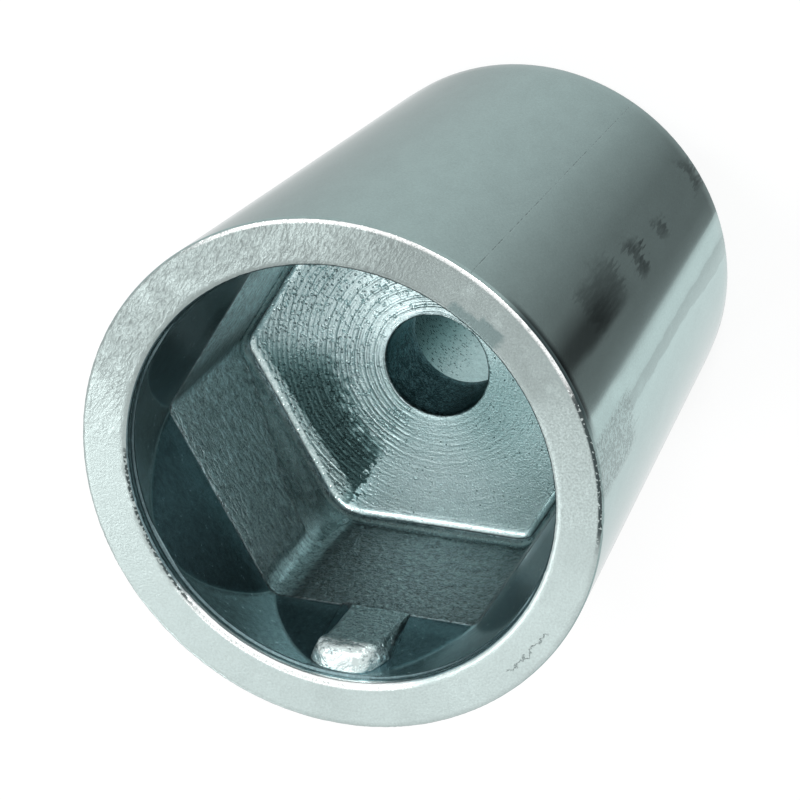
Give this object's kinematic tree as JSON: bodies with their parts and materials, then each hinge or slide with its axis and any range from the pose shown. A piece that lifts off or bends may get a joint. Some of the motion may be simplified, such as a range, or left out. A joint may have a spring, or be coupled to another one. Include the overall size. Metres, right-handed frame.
{
  "type": "sacrificial anode",
  "caption": "Tapered zinc cap for the nut on a propeller shaft, with a hexagonal socket and a lug in its open mouth and a recessed screw hole in its closed end.",
  "frame": {"origin": "centre of the closed end, on the face that the anode stands on", "axes": "+Z along the propeller shaft's axis, out of the open mouth; the lug in the mouth is on the +Y side"},
  "size_m": [0.053, 0.053, 0.062],
  "materials": {
    "cast_zinc": "as cast, satin grey, slightly rough"
  },
  "bodies": {
    "root": {"anode_casting": "cast_zinc"}
  },
  "joints": []
}
